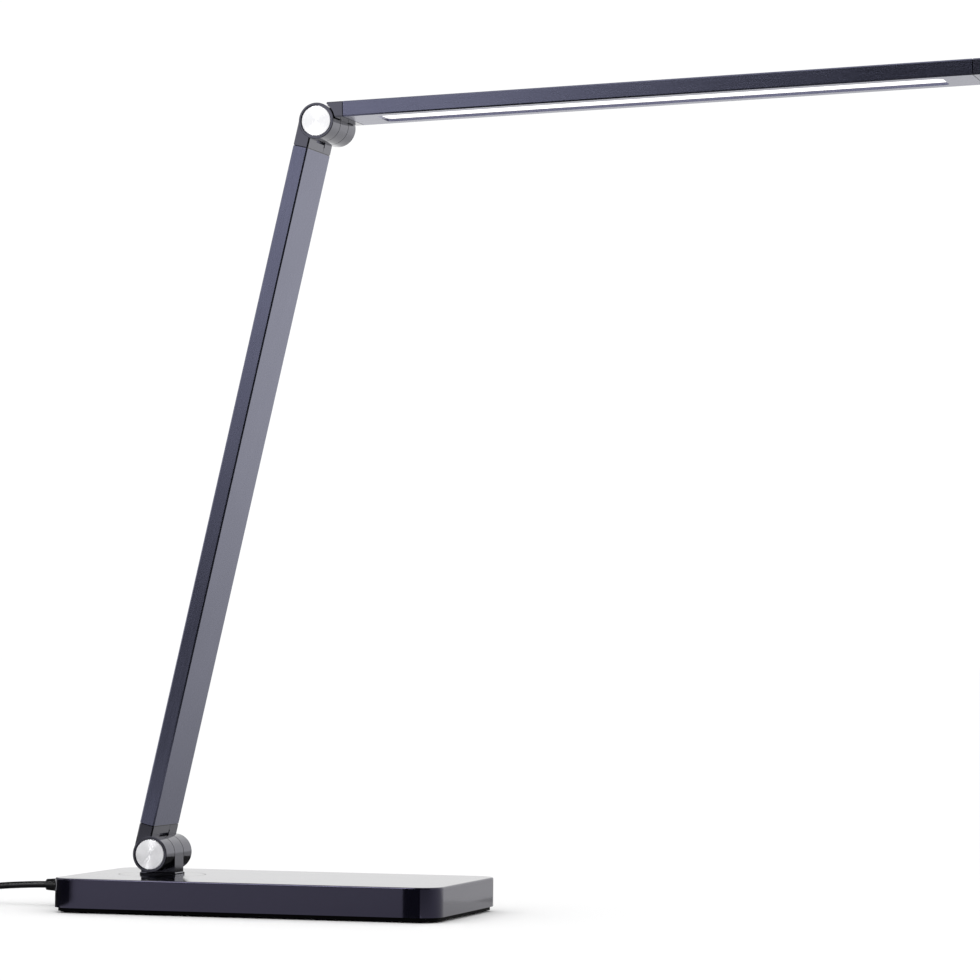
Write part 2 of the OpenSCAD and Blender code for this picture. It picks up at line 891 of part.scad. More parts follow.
module spring_half() {
    polygon([[spring_r, 0], [spring_r, spring_t], [spring_bore_r, spring_h / 2],
             [spring_bore_r, spring_cup]]);
}

module hinge_springs() {
    color([0.5, 0.5, 0.52])
    translate([0, counter_y, 0])
        rotate([-90, 0, 0]) {
            rotate_extrude()
                spring_half();
            translate([0, 0, spring_h])
                mirror([0, 0, 1])
                    rotate_extrude()
                        spring_half();
        }
}

module hinge_friction() {
    color([0.05, 0.05, 0.05])
    for (y = [-fork_in, mid_half])
        difference() {
            across(knuckle_d - 2 * washer_inset, y, y + washer_t);
            across(axle_hole, y - e, y + washer_t + e);
        }
}

module hinge_disc() {
    color([0.85, 0.85, 0.86])
    across(disc_d, seat_y, seat_y + disc_t);
}

module outer_knuckle() {
    across(knuckle_d, mid_half, stack_half - knuckle_edge);
    translate([0, stack_half - knuckle_edge, 0])
        rotate([-90, 0, 0])
            cylinder(d1 = knuckle_d, d2 = knuckle_d - 2 * knuckle_edge,
                     h = knuckle_edge);
}

// End cap of the arm: a plug for the tube and the two outer knuckles of a hinge.
module fork_cap() {
    color([0.12, 0.12, 0.15])
    difference() {
        union() {
            linear_extrude(cap_len - seam_w)
                bar_section();
            linear_extrude(cap_len)
                bar_section(seam_d);
            for (s = [0, 180])
                rotate([0, 0, s])
                    outer_knuckle();
            for (sy = [-1, 1])
                translate([-bar_mid - hollow_x / 2 + tenon_gap,
                           sy * (rib_out + hollow_half) / 2
                           - (hollow_half - rib_out) / 2 + 2 * tenon_gap,
                           cap_len - bite])
                    cube([hollow_x - 2 * tenon_gap,
                          hollow_half - rib_out - 4 * tenon_gap, tenon_len + bite]);
        }
        // gap for the middle knuckle and its washers
        translate([-knuckle_d, -fork_in, -knuckle_d])
            cube([2 * knuckle_d, 2 * fork_in, knuckle_d + fork_z]);
        across(axle_snug, -stack_half - e, stack_half + e);
        for (s = [0, 180])
            rotate([0, 0, s]) {
                across(cap_counter_d, counter_y, stack_half + e);
                across(disc_seat_d, seat_y, stack_half + e);
            }
        // corner relief of the gap, and the parting line above it
        translate([-bar_in - relief_d / 3, relief_y, fork_z - e])
            cylinder(d = relief_d, h = relief_h + e);
        translate([-bar_in - parting_d, relief_y - parting_w / 2, fork_z - e])
            cube([parting_d + e, parting_w, cap_len - fork_z + 2 * e]);
        // wire passage and the screw holes
        translate([-bar_mid, 0, fork_z - e])
            cylinder(d = wire_hole, h = cap_len - fork_z + 2 * e);
        for (sy = [-1, 1])
            translate([-bar_mid, sy * rib_y, fork_z - e]) {
                cylinder(d = screw_clear_d, h = cap_len);
                cylinder(d = cap_sink_d, h = cap_sink_h + e);
            }
    }
}

module cap_screws() {
    for (sy = [-1, 1])
        translate([-bar_mid, sy * rib_y, fork_z + cap_sink_h - cap_head_h]) {
            cylinder(d = cap_head_d, h = cap_head_h);
            translate([0, 0, cap_head_h])
                cylinder(d = screw_d, h = cap_screw_h);
        }
}

module lower_bolt() { in_arm() hinge_bolt(); }
module lower_nut() { in_arm() hinge_nut(); }
module lower_springs() { in_arm() hinge_springs(); }
module lower_friction() { in_arm() hinge_friction(); }
module lower_disc_front() { in_arm() rotate([0, 0, 180]) hinge_disc(); }
module lower_disc_rear() { in_arm() hinge_disc(); }
module upper_bolt() { at_upper() hinge_bolt(); }
module upper_nut() { at_upper() hinge_nut(); }
module upper_springs() { at_upper() hinge_springs(); }
module upper_friction() { at_upper() hinge_friction(); }
module upper_disc_front() { at_upper() rotate([0, 0, 180]) hinge_disc(); }
module upper_disc_rear() { at_upper() hinge_disc(); }

// ---------- arm ----------

module arm_tube() {
    color([0.16, 0.16, 0.2])
    in_arm()
        translate([0, 0, cap_len])
            linear_extrude(arm_reach - 2 * cap_len)
                difference() {
                    bar_section();
                    difference() {
                        translate([-bar_mid - hollow_x / 2, -hollow_half])
                            square([hollow_x, 2 * hollow_half]);
                        for (sy = [-1, 1])
                            translate([-bar_out, sy * rib_y - rib_w / 2])
                                square([bar_t, rib_w]);
                    }
                    for (sy = [-1, 1])
                        translate([-bar_mid, sy * rib_y])
                            circle(d = screw_bore);
                }
}

module arm_cap_lower() { in_arm() fork_cap(); }
module arm_cap_upper() { at_upper() mirror([0, 0, 1]) fork_cap(); }

module arm_screws() {
    color([0.7, 0.7, 0.72]) {
        in_arm() cap_screws();
        at_upper() mirror([0, 0, 1]) cap_screws();
    }
}

module arm_wire() {
    color([0.1, 0.1, 0.1])
    in_arm()
        translate([-bar_mid, 0, fork_z + wire_end])
            cylinder(d = wire_d, h = arm_reach - 2 * (fork_z + wire_end));
}

// ---------- head ----------

// bar of the head between two distances from the axis
module head_bar(x0, x1, inset = 0) {
    translate([x0, 0, 0])
        rotate([0, 90, 0])
            linear_extrude(x1 - x0)
                bar_section(inset);
}

// block of the head chamber, centred on Y
module head_block(x0, x1, half, z0, z1) {
    translate([x0, -half, z0])
        cube([x1 - x0, 2 * half, z1 - z0]);
}

module head_tube() {
    color([0.15, 0.15, 0.18])
    in_head()
        difference() {
            head_bar(head_seam, head_end);
            head_block(head_seam - e, head_end + e, chamber_half, chamber_lo,
                       chamber_hi);
            for (sy = [-1, 1])
                translate([0, sy * port_y, (chamber_lo + chamber_hi) / 2])
                    along(screw_bore, head_seam - e, head_end + e);
            translate([slot_start + slot_len / 2, 0, bar_in - e])
                slab(slot_len, slot_w, slot_corner, slot_wall + 2 * e);
        }
}

module head_cap_inner() {
    color([0.12, 0.12, 0.15])
    in_head()
        difference() {
            union() {
                difference() {
                    union() {
                        head_bar(head_root, head_seam - seam_w);
                        head_bar(head_root, head_seam, seam_d);
                    }
                    across(2 * swing_r, -stack_half - e, -mid_half);
                    across(2 * swing_r, mid_half, stack_half + e);
                }
                head_block(0, head_seam - 1, mid_half, bar_in, bar_out);
                across(knuckle_d, -mid_half, mid_half);
                head_block(head_seam - bite, head_seam + tenon_len, strip_half,
                           chamber_lo + tenon_gap, chamber_hi - tenon_gap);
            }
            across(axle_hole, -mid_half - e, mid_half + e);
            // wire passage round the bolt and out along the head
            translate([wire_side, 0, -knuckle_r])
                cylinder(d = wire_hole, h = knuckle_r - wire_side);
            translate([0, 0, -wire_side])
                along(wire_hole, wire_side, head_seam + tenon_len + e);
            for (sy = [-1, 1])
                translate([0, sy * port_y, (chamber_lo + chamber_hi) / 2]) {
                    along(screw_clear_d, 0, head_seam + e);
                    along(head_sink_d, 0, head_screw_seat);
                }
        }
}

module head_cap_outer() {
    color([0.12, 0.12, 0.15])
    in_head() {
        head_bar(head_end + seam_w, head_reach);
        head_bar(head_end, head_reach - 1, seam_d);
        head_block(head_end - tenon_len, head_end + bite, strip_half,
                   chamber_lo + tenon_gap, chamber_hi - tenon_gap);
    }
}

module head_screws() {
    color([0.7, 0.7, 0.72])
    in_head()
        for (sy = [-1, 1])
            translate([0, sy * port_y, (chamber_lo + chamber_hi) / 2]) {
                along(head_screw_d, head_screw_seat - head_screw_h, head_screw_seat);
                along(screw_d, head_screw_seat, head_seam + head_thread_h);
            }
}

module diffuser() {
    color([1, 0.98, 0.96])
    in_head()
        head_block(strip_start, strip_start + strip_len, strip_half, chamber_lo,
                   chamber_lo + diffuser_t);
}

module reflector() {
    color([0.95, 0.95, 0.95])
    in_head()
        difference() {
            head_block(strip_start, strip_start + strip_len, strip_half,
                       chamber_lo + diffuser_t, chamber_hi - led_board_t);
            head_block(strip_start + 2, strip_start + strip_len - 2,
                       strip_half - reflector_wall, chamber_lo + diffuser_t - e,
                       chamber_hi - led_board_t + e);
        }
}

module led_board() {
    color([0.92, 0.92, 0.9])
    in_head()
        head_block(strip_start, strip_start + strip_len, strip_half,
                   chamber_hi - led_board_t, chamber_hi);
}

module leds() {
    color([0.95, 0.9, 0.6])
    in_head() {
        pitch = slot_len / led_count;
        for (i = [0:led_count - 1])
            translate([slot_start + (i + 0.5) * pitch - led_w / 2, -led_d / 2,
                       chamber_hi - led_board_t - led_h])
                cube([led_w, led_d, led_h]);
    }
}

module head_wire() {
    color([0.1, 0.1, 0.1])
    in_head() {
        bend = head_bend_r;
        translate([wire_side, 0, -wire_reach])
            cylinder(d = wire_d, h = wire_reach - wire_side - bend);
        translate([wire_side, 0, -wire_side])
            rotate([0, 90, 0])
                translate([0, 0, bend])
                    cylinder(d = wire_d, h = strip_start - wire_side - bend);
        translate([wire_side + bend, 0, -wire_side])
            mirror([1, 0, 0])
                mirror([0, 0, 1])
                    wire_bend(bend);
    }
}

// ---------- cord and adapter ----------

module plug_barrel() {
    color([0.75, 0.75, 0.76])
    in_cord()
        translate([0, 0, jack_z])
            difference() {
                along(plug_d, -plug_gap, shell_wall + plug_in);
                along(plug_bore, plug_web, shell_wall + plug_in + e);
            }
}

module plug_grip() {
    color([0.07, 0.07, 0.07])
    in_cord()
        translate([0, 0, jack_z])
            rotate([0, -90, 0])
                rotate_extrude()
                    polygon([[0, plug_gap], [grip_d / 2 - grip_edge, plug_gap],
                             [grip_d / 2, plug_gap + grip_edge],
                             [grip_d / 2, grip_len - grip_end],
                             [grip_d / 2 - grip_end, grip_len], [0, grip_len]]);
}

module plug_relief() {
    color([0.07, 0.07, 0.07])
    in_cord()
        translate([-grip_len, 0, jack_z])
            rotate([0, -90, 0])
                difference() {
                    cylinder(d1 = relief_root_d, d2 = relief_tip_d, h = relief_len);
                    translate([0, 0, relief_floor])
                        cylinder(d = socket_d, h = relief_len);
                }
}

module cord_lead() {
    color([0.06, 0.06, 0.06])
    in_cord()
        cord_sweep([for (p = lead_route)
                    [p[0], p[1], cord_r + p[2] * (jack_z - cord_r)]], cord_r);
}

module cord_coil() {
    color([0.06, 0.06, 0.06])
    in_cord()
        translate([coil_at[0], coil_at[1], tie_t])
            rotate_extrude()
                translate([coil_mean_d / 2, coil_h / 2])
                    round_rect(coil_w, coil_h, cord_r);
}

module cord_tie() {
    color([0.05, 0.05, 0.05])
    in_cord()
        translate([coil_at[0] + coil_mean_d / 2, coil_at[1], tie_t + coil_h / 2])
            rotate([90, 0, 0])
                translate([0, 0, -tie_w / 2])
                    linear_extrude(tie_w)
                        difference() {
                            round_rect(coil_w + 2 * tie_t, coil_h + 2 * tie_t,
                                       cord_r + tie_t);
                            round_rect(coil_w, coil_h, cord_r);
                        }
}

module cord_tail() {
    color([0.06, 0.06, 0.06])
    in_cord()
        cord_sweep(tail_route, cord_r);
}

module adapter_relief() {
    color([0.07, 0.07, 0.07])
    in_cord()
        translate([adapter_at[0], adapter_at[1], tail_route[len(tail_route) - 1][2]])
            rotate([-90, 0, 0])
                difference() {
                    cylinder(d1 = adapter_relief_d, d2 = adapter_tip_d,
                             h = adapter_relief_len);
                    translate([0, 0, adapter_relief_len - socket_len])
                        cylinder(d = socket_d, h = socket_len + e);
                }
}

module adapter_case() {
    color([0.07, 0.07, 0.07])
    in_cord()
        translate([adapter_at[0], adapter_at[1] - adapter_len / 2, 0])
            rotate([0, 0, 90])
                soft_slab(adapter_len, adapter_w, adapter_corner, adapter_h,
                          adapter_edge);
}

module adapter_blades() {
    color([0.8, 0.78, 0.7])
    in_cord()
        for (s = [-1, 1])
            translate([adapter_at[0] - adapter_w / 2 - blade_len,
                       adapter_at[1] - adapter_len + blade_edge,
                       adapter_h / 2 + s * blade_half - blade_t / 2])
                cube([blade_len, blade_w, blade_t]);
}

base_shell();
bottom_cover();
rubber_feet();
cover_screws();
ballast_plate();
control_board();
board_parts();
board_screws();
touch_pads();
power_jack();
supply_wire();
base_wire();
turntable();
swivel_washer();
swivel_nut();
hinge_post();
post_screws();
post_wire();
lower_bolt();
lower_nut();
lower_springs();
lower_friction();
lower_disc_front();
lower_disc_rear();
arm_tube();
arm_cap_lower();
arm_cap_upper();
arm_screws();
arm_wire();
upper_bolt();
upper_nut();
upper_springs();
upper_friction();
upper_disc_front();
upper_disc_rear();
head_tube();
head_cap_inner();
head_cap_outer();
head_screws();
diffuser();
reflector();
led_board();
leds();
head_wire();
plug_barrel();
plug_grip();
plug_relief();
cord_lead();
cord_coil();
cord_tie();
cord_tail();
adapter_relief();
adapter_case();
adapter_blades();
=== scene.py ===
import math
import bpy
from mathutils import Matrix, Vector


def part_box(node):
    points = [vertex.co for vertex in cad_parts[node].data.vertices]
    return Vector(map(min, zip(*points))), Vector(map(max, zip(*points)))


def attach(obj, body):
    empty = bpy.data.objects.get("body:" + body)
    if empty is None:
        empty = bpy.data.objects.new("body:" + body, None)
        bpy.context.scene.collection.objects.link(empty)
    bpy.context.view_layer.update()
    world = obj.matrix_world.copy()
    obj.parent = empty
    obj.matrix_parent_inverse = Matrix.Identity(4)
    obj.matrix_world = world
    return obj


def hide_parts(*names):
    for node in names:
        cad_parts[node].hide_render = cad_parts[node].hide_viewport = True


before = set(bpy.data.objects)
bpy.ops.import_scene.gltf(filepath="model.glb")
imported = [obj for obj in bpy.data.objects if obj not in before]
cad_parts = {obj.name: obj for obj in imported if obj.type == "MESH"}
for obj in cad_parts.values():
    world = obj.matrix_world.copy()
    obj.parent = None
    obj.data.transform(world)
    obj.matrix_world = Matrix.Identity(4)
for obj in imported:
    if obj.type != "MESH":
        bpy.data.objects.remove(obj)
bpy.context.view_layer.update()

# ---------- camera ----------
# A long lens stands to the front right, just above the table, and looks slightly
# up at the lamp, so that the base's top is seen nearly edge on.

camera_lens = 147.55
sensor_w = 36
camera_place = (0.663799, -1.895142, 0.136763)
camera_yaw = 16.3104
camera_pitch = 2.116
camera_roll = 0.488

camera_data = bpy.data.cameras.new("camera")
camera_data.lens = camera_lens
camera_data.sensor_width = sensor_w
camera = bpy.data.objects.new("camera", camera_data)
camera.matrix_world = (Matrix.Translation(camera_place)
                       @ Matrix.Rotation(math.radians(camera_yaw), 4, "Z")
                       @ Matrix.Rotation(math.radians(90 + camera_pitch), 4, "X")
                       @ Matrix.Rotation(math.radians(camera_roll), 4, "Z"))
bpy.context.scene.collection.objects.link(camera)
bpy.context.scene.camera = camera

# ---------- plug ----------
# A nickel-plated barrel pushes into the base. A flattened grip with rounded ends and
# three finger grooves, and a tapered relief, are moulded on it in soft black rubber.


def grain_group():
    """Unevenness of a made surface: two close colours in patches, roughness, height."""
    group = bpy.data.node_groups.new("surface_grain", "ShaderNodeTree")
    sockets = [("Dark", "NodeSocketColor"), ("Light", "NodeSocketColor"),
               ("Smooth", "NodeSocketFloat"), ("Rough", "NodeSocketFloat"),
               ("Grain", "NodeSocketFloat"), ("Patch", "NodeSocketFloat"),
               ("Lay", "NodeSocketVector"), ("Stretch", "NodeSocketVector")]
    for name, kind in sockets:
        group.interface.new_socket(name, in_out="INPUT", socket_type=kind)
    for name, kind in (("Color", "NodeSocketColor"), ("Roughness", "NodeSocketFloat"),
                       ("Height", "NodeSocketFloat")):
        group.interface.new_socket(name, in_out="OUTPUT", socket_type=kind)
    new = group.nodes.new
    join = group.links.new
    given = new("NodeGroupInput")
    made = new("NodeGroupOutput")
    place = new("ShaderNodeTexCoord")
    lie = new("ShaderNodeMapping")
    lie.vector_type = "TEXTURE"
    fine = new("ShaderNodeTexNoise")
    fine.inputs["Detail"].default_value = 3
    broad = new("ShaderNodeTexNoise")
    broad.inputs["Detail"].default_value = 2
    shade = new("ShaderNodeMix")
    shade.data_type = "RGBA"
    gloss = new("ShaderNodeMapRange")
    join(place.outputs["Object"], lie.inputs["Vector"])
    join(given.outputs["Lay"], lie.inputs["Rotation"])
    join(given.outputs["Stretch"], lie.inputs["Scale"])
    join(lie.outputs["Vector"], fine.inputs["Vector"])
    join(given.outputs["Grain"], fine.inputs["Scale"])
    join(place.outputs["Object"], broad.inputs["Vector"])
    join(given.outputs["Patch"], broad.inputs["Scale"])
    join(broad.outputs["Fac"], shade.inputs["Factor"])
    join(given.outputs["Dark"], shade.inputs["A"])
    join(given.outputs["Light"], shade.inputs["B"])
    join(fine.outputs["Fac"], gloss.inputs["Value"])
    join(given.outputs["Smooth"], gloss.inputs["To Min"])
    join(given.outputs["Rough"], gloss.inputs["To Max"])
    join(shade.outputs["Result"], made.inputs["Color"])
    join(gloss.outputs["Result"], made.inputs["Roughness"])
    join(fine.outputs["Fac"], made.inputs["Height"])
    return group


surface_grain = grain_group()
grain_height = 0.0001


def finish(name, dark, light, rough, grain, patch=30, bump=0.1, lay=(0, 0, 0),
           stretch=(1, 1, 1), **fixed):
    """Material of a made surface. fixed holds plain values, such as Metallic=1."""
    material = bpy.data.materials.new(name)
    material.use_nodes = True
    nodes = material.node_tree.nodes
    join = material.node_tree.links.new
    shader = nodes["Principled BSDF"]
    for socket, value in fixed.items():
        shader.inputs[socket.replace("_", " ")].default_value = value
    surface = nodes.new("ShaderNodeGroup")
    surface.node_tree = surface_grain
    surface.inputs["Dark"].default_value = (*dark, 1)
    surface.inputs["Light"].default_value = (*light, 1)
    surface.inputs["Smooth"].default_value = rough[0]
    surface.inputs["Rough"].default_value = rough[1]
    surface.inputs["Grain"].default_value = grain
    surface.inputs["Patch"].default_value = patch
    surface.inputs["Lay"].default_value = lay
    surface.inputs["Stretch"].default_value = stretch
    relief = nodes.new("ShaderNodeBump")
    relief.inputs["Strength"].default_value = bump
    relief.inputs["Distance"].default_value = grain_height
    join(surface.outputs["Color"], shader.inputs["Base Color"])
    join(surface.outputs["Roughness"], shader.inputs["Roughness"])
    join(surface.outputs["Height"], relief.inputs["Height"])
    join(relief.outputs["Normal"], shader.inputs["Normal"])
    return material


def dress(material, *names):
    """Gives nodes of the frame their finish."""
    for name in names:
        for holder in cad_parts[name].material_slots:
            holder.material = material


cord_rubber = finish("cord_rubber", (0.002, 0.002, 0.003), (0.005, 0.005, 0.007),
                     (0.20, 0.30), grain=2500, Specular_IOR_Level=0.7)
nickel = finish("nickel", (0.60, 0.58, 0.54), (0.68, 0.66, 0.62), (0.16, 0.26),
                grain=1800, bump=0.03, Metallic=1)
dress(nickel, "plug_barrel")
dress(cord_rubber, "plug_relief")

grip_sides = 64
grip_flat = 0.7
grip_smooth = math.radians(30)
# a share of the grip's length away from the base, and a share of its half width
grip_mouth = (0, 0.92)
grip_profile = [(0.015, 0.97), (0.035, 1), (0.40, 1), (0.42, 0.93), (0.47, 0.93),
                (0.49, 1), (0.56, 1), (0.58, 0.93), (0.63, 0.93), (0.65, 1), (0.72, 1),
                (0.74, 0.93), (0.79, 0.93), (0.81, 1), (0.90, 0.99), (0.96, 0.95),
                (0.99, 0.88), (1, 0.80)]
grip_low, grip_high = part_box("plug_grip")
grip_middle = (grip_low + grip_high) / 2
grip_len = grip_high.x - grip_low.x
last_share, last_size = grip_mouth
bpy.ops.object.select_all(action="DESELECT")
bpy.ops.mesh.primitive_circle_add(vertices=grip_sides, fill_type="NGON",
                                  radius=last_size * (grip_high.y - grip_low.y) / 2,
                                  location=(grip_high.x, grip_middle.y, grip_middle.z),
                                  rotation=(0, -math.pi / 2, 0))
moulded_grip = bpy.context.object
moulded_grip.name = "plug_grip_moulded"
bpy.ops.object.transform_apply(location=True, rotation=True, scale=True)
bpy.ops.object.mode_set(mode="EDIT")
bpy.ops.mesh.select_all(action="SELECT")
# drawn from the round mouth to the cord's end, ring by ring, and then flattened
for share, size in grip_profile:
    bpy.ops.mesh.extrude_region_move(
        TRANSFORM_OT_translate={"value": ((last_share - share) * grip_len, 0, 0)})
    bpy.ops.transform.resize(value=(1, size / last_size, size / last_size),
                             center_override=grip_middle)
    last_share, last_size = share, size
bpy.ops.mesh.select_all(action="SELECT")
bpy.ops.transform.resize(value=(1, 1, grip_flat), center_override=grip_middle)
bpy.ops.mesh.normals_make_consistent(inside=False)
bpy.ops.object.mode_set(mode="OBJECT")
bpy.ops.object.shade_smooth_by_angle(angle=grip_smooth)
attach(moulded_grip, "base")
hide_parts("plug_grip")
moulded_grip.data.materials.append(cord_rubber)

# ---------- supply cord ----------
# A round cord in soft black rubber runs from the plug down to the table. Its spare
# length is wound into a coil of ten turns, held by a tie, and ends in the adapter.

cord_d = 0.0035
base_left = -0.100
jack_height = 0.0104
table_height = cord_d / 2

# distance from the base's left side, and a share of the rise from table to jack
lead_route = [(-0.019, 1), (-0.024, 1), (-0.032, 0.97), (-0.040, 0.92), (-0.048, 0.85),
              (-0.056, 0.75), (-0.064, 0.6), (-0.072, 0.42), (-0.080, 0.26),
              (-0.088, 0.14), (-0.096, 0.07), (-0.104, 0.05), (-0.112, 0.07)]
route = [Vector((base_left + along, 0, table_height + share * (jack_height - table_height)))
         for along, share in lead_route]

coil_middle = Vector((-0.212, -0.02525))
coil_outer = 0.02525  # from the middle to the cord's middle line in the outer ring
coil_floor = 0.00235
coil_turns = 10.25
coil_start = math.radians(90)
points_per_turn = 16
lane_change = 0.75  # share of a turn after which it eases over to the next lane
last_turn = 0.25
tail_rise = 0.002
# which ring, counted inwards, and which layer each turn lies in
lanes = [(0, 0), (1, 0), (2, 0), (3, 0), (3, 1), (2, 1), (1, 1), (0, 1), (0, 2), (1, 2),
         (2, 2)]
for step in range(1, round(coil_turns * points_per_turn) + 1):
    turn, part = divmod(step, points_per_turn)
    share = part / points_per_turn
    ring, layer = lanes[turn]
    if turn + 1 < len(lanes):
        shift = max(0, share - lane_change) / (1 - lane_change)
        shift = shift * shift * (3 - 2 * shift)  # eased at both ends
        ring += (lanes[turn + 1][0] - ring) * shift
        layer += (lanes[turn + 1][1] - layer) * shift
        lift = 0
    else:
        lift = tail_rise * share / last_turn
    angle = coil_start + 2 * math.pi * step / points_per_turn
    radius = coil_outer - cord_d * ring
    route.append(Vector((coil_middle.x + radius * math.cos(angle),
                         coil_middle.y + radius * math.sin(angle),
                         coil_floor + cord_d * layer + lift)))
tail_route = [(-0.2302, -0.030, 0.0126), (-0.2302, -0.038, 0.0129),
              (-0.2302, -0.046, 0.0130), (-0.2302, -0.054, 0.0130),
              (-0.2302, -0.062, 0.0130)]
route += [Vector(point) for point in tail_route]

cord_curve = bpy.data.curves.new("supply_cord", "CURVE")
cord_curve.dimensions = "3D"
cord_curve.bevel_depth = 1  # each knot's radius holds the cord's own
cord_curve.bevel_resolution = 3
cord_curve.resolution_u = 4
cord_curve.use_fill_caps = True
spline = cord_curve.splines.new("BEZIER")
spline.bezier_points.add(len(route) - 1)
for knot, place in zip(spline.bezier_points, route):
    knot.co = place
    knot.radius = cord_d / 2
    knot.handle_left_type = knot.handle_right_type = "AUTO"
supply_cord = bpy.data.objects.new("supply_cord", cord_curve)
bpy.context.scene.collection.objects.link(supply_cord)
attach(supply_cord, "base")
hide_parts("cord_lead", "cord_coil", "cord_tail")
cord_curve.materials.append(cord_rubber)

# ---------- tie and adapter ----------
# A woven strap holds the coil. The adapter is a fine-textured moulded case, closed for
# good, with two plated blades.

adapter_plastic = finish("adapter_plastic", (0.012, 0.012, 0.013), (0.017, 0.017, 0.018),
                         (0.42, 0.62), grain=4000, bump=0.35)
tie_fabric = finish("tie_fabric", (0.008, 0.008, 0.008), (0.020, 0.020, 0.021),
                    (0.7, 0.9), grain=3000, bump=0.5)
dress(tie_fabric, "cord_tie")
dress(adapter_plastic, "adapter_case")
dress(cord_rubber, "adapter_relief")
dress(nickel, "adapter_blades")

# ---------- base shell ----------
# An injection-moulded shell with a polished top and sides, near black with a trace
# of blue. Its gloss carries the faint ripple of moulded plastic.

gloss_plastic = finish("gloss_plastic", (0.0006, 0.0006, 0.0020), (0.0012, 0.0011, 0.0034),
                       (0.07, 0.12), grain=260, patch=18, bump=0.015,
                       Specular_IOR_Level=0.70, Specular_Tint=(0.70, 0.66, 1.0, 1))
dress(gloss_plastic, "base_shell")

# ---------- bottom cover, feet and screws ----------
# The cover is textured plastic, screwed up into the shell's pillars from below. Five
# rubber feet are glued in shallow seats in it.

cover_plastic = finish("cover_plastic", (0.0015, 0.0015, 0.0020), (0.0030, 0.0030, 0.0035),
                       (0.5, 0.68), grain=3500, bump=0.3, Specular_IOR_Level=0.02)
foot_rubber = finish("foot_rubber", (0.010, 0.010, 0.010), (0.020, 0.020, 0.020),
                     (0.7, 0.85), grain=2200, bump=0.3)
zinc_steel = finish("zinc_steel", (0.50, 0.51, 0.53), (0.62, 0.63, 0.66), (0.24, 0.38),
                    grain=2400, patch=300, bump=0.05, Metallic=1)
dress(cover_plastic, "bottom_cover")
dress(foot_rubber, "rubber_feet")
dress(zinc_steel, "cover_screws")

# ---------- ballast, board and wires ----------
# A cut steel plate makes the base heavy. The touch board hangs from the shell's ceiling
# on screws, with its sensor pads against the top. Thin wires join it to the power jack
# and to the post.

raw_steel = finish("raw_steel", (0.22, 0.22, 0.23), (0.36, 0.36, 0.37), (0.42, 0.6),
                   grain=900, patch=60, bump=0.15, Metallic=1)
board_mask = finish("board_mask", (0.008, 0.075, 0.028), (0.014, 0.11, 0.045),
                    (0.25, 0.38), grain=1500, patch=220, bump=0.12)
chip_plastic = finish("chip_plastic", (0.012, 0.012, 0.012), (0.022, 0.022, 0.022),
                      (0.45, 0.6), grain=3000, bump=0.2)
sensor_foam = finish("sensor_foam", (0.055, 0.055, 0.055), (0.09, 0.09, 0.09), (0.8, 0.95),
                     grain=2600, bump=0.6)
red_wire = finish("red_wire", (0.42, 0.012, 0.010), (0.52, 0.020, 0.015), (0.3, 0.4),
                  grain=1600)
black_wire = finish("black_wire", (0.010, 0.010, 0.010), (0.016, 0.016, 0.016),
                    (0.3, 0.42), grain=1600)
dress(raw_steel, "ballast_plate")
dress(board_mask, "control_board")
dress(chip_plastic, "board_parts", "power_jack")
dress(sensor_foam, "touch_pads")
dress(zinc_steel, "board_screws")
dress(red_wire, "supply_wire")
dress(black_wire, "base_wire")

# ---------- turntable and swivel ----------
# A flush anodised disc turns in the shell's top. A plain washer and a slotted nut hold
# its hollow hub from below.

anodised_disc = finish("anodised_disc", (0.030, 0.030, 0.040), (0.040, 0.040, 0.052),
                       (0.10, 0.14), grain=900, bump=0.02, Metallic=1)
dress(anodised_disc, "turntable")
dress(zinc_steel, "swivel_washer", "swivel_nut")

# ---------- post and cast hinge ends ----------
# The post and the caps are die-cast, with knuckles that interleave on the bolts, and
# painted satin black. The head's outer cap is blasted and anodised as its tube is.
# Shade is painted black in a thin band round each cap where it meets its tube.

arm_lean = math.radians(12.9)
arm_reach = 0.374
lower_axle = Vector((-0.0605, 0, 0.0278))
arm_along = Vector((math.sin(arm_lean), 0, math.cos(arm_lean)))
head_rise = math.radians(2)
upper_axle = lower_axle + arm_reach * arm_along
head_along = Vector((math.cos(head_rise), 0, math.sin(head_rise)))
# from the nearest axle to the gap between a cap and its tube, where shade is painted
arm_seam = 0.0140
head_seam = 0.0139
head_end_seam = 0.3277
# half the width of the band of painted shade
painted_shade_half = 0.0002


def painted_gap_shade_group():
    """Mask of the band of painted shade in the gap that runs round a cap, across one
    direction.
    """
    group = bpy.data.node_groups.new("painted_gap_shade", "ShaderNodeTree")
    for name, kind in (("Along", "NodeSocketVector"), ("Middle", "NodeSocketFloat"),
                       ("Half", "NodeSocketFloat")):
        group.interface.new_socket(name, in_out="INPUT", socket_type=kind)
    group.interface.new_socket("Mask", in_out="OUTPUT", socket_type="NodeSocketFloat")
    join = group.links.new
    given = group.nodes.new("NodeGroupInput")
    made = group.nodes.new("NodeGroupOutput")
    place = group.nodes.new("ShaderNodeTexCoord")
    reach = group.nodes.new("ShaderNodeVectorMath")
    reach.operation = "DOT_PRODUCT"
    inside = group.nodes.new("ShaderNodeMath")
    inside.operation = "COMPARE"
    join(place.outputs["Object"], reach.inputs[0])
    join(given.outputs["Along"], reach.inputs[1])
    join(reach.outputs["Value"], inside.inputs[0])
    join(given.outputs["Middle"], inside.inputs[1])
    join(given.outputs["Half"], inside.inputs[2])
    join(inside.outputs["Value"], made.inputs["Mask"])
    return group


# painted shade: the band that darkens the gaps between caps and tubes
painted_gap_shade = painted_gap_shade_group()


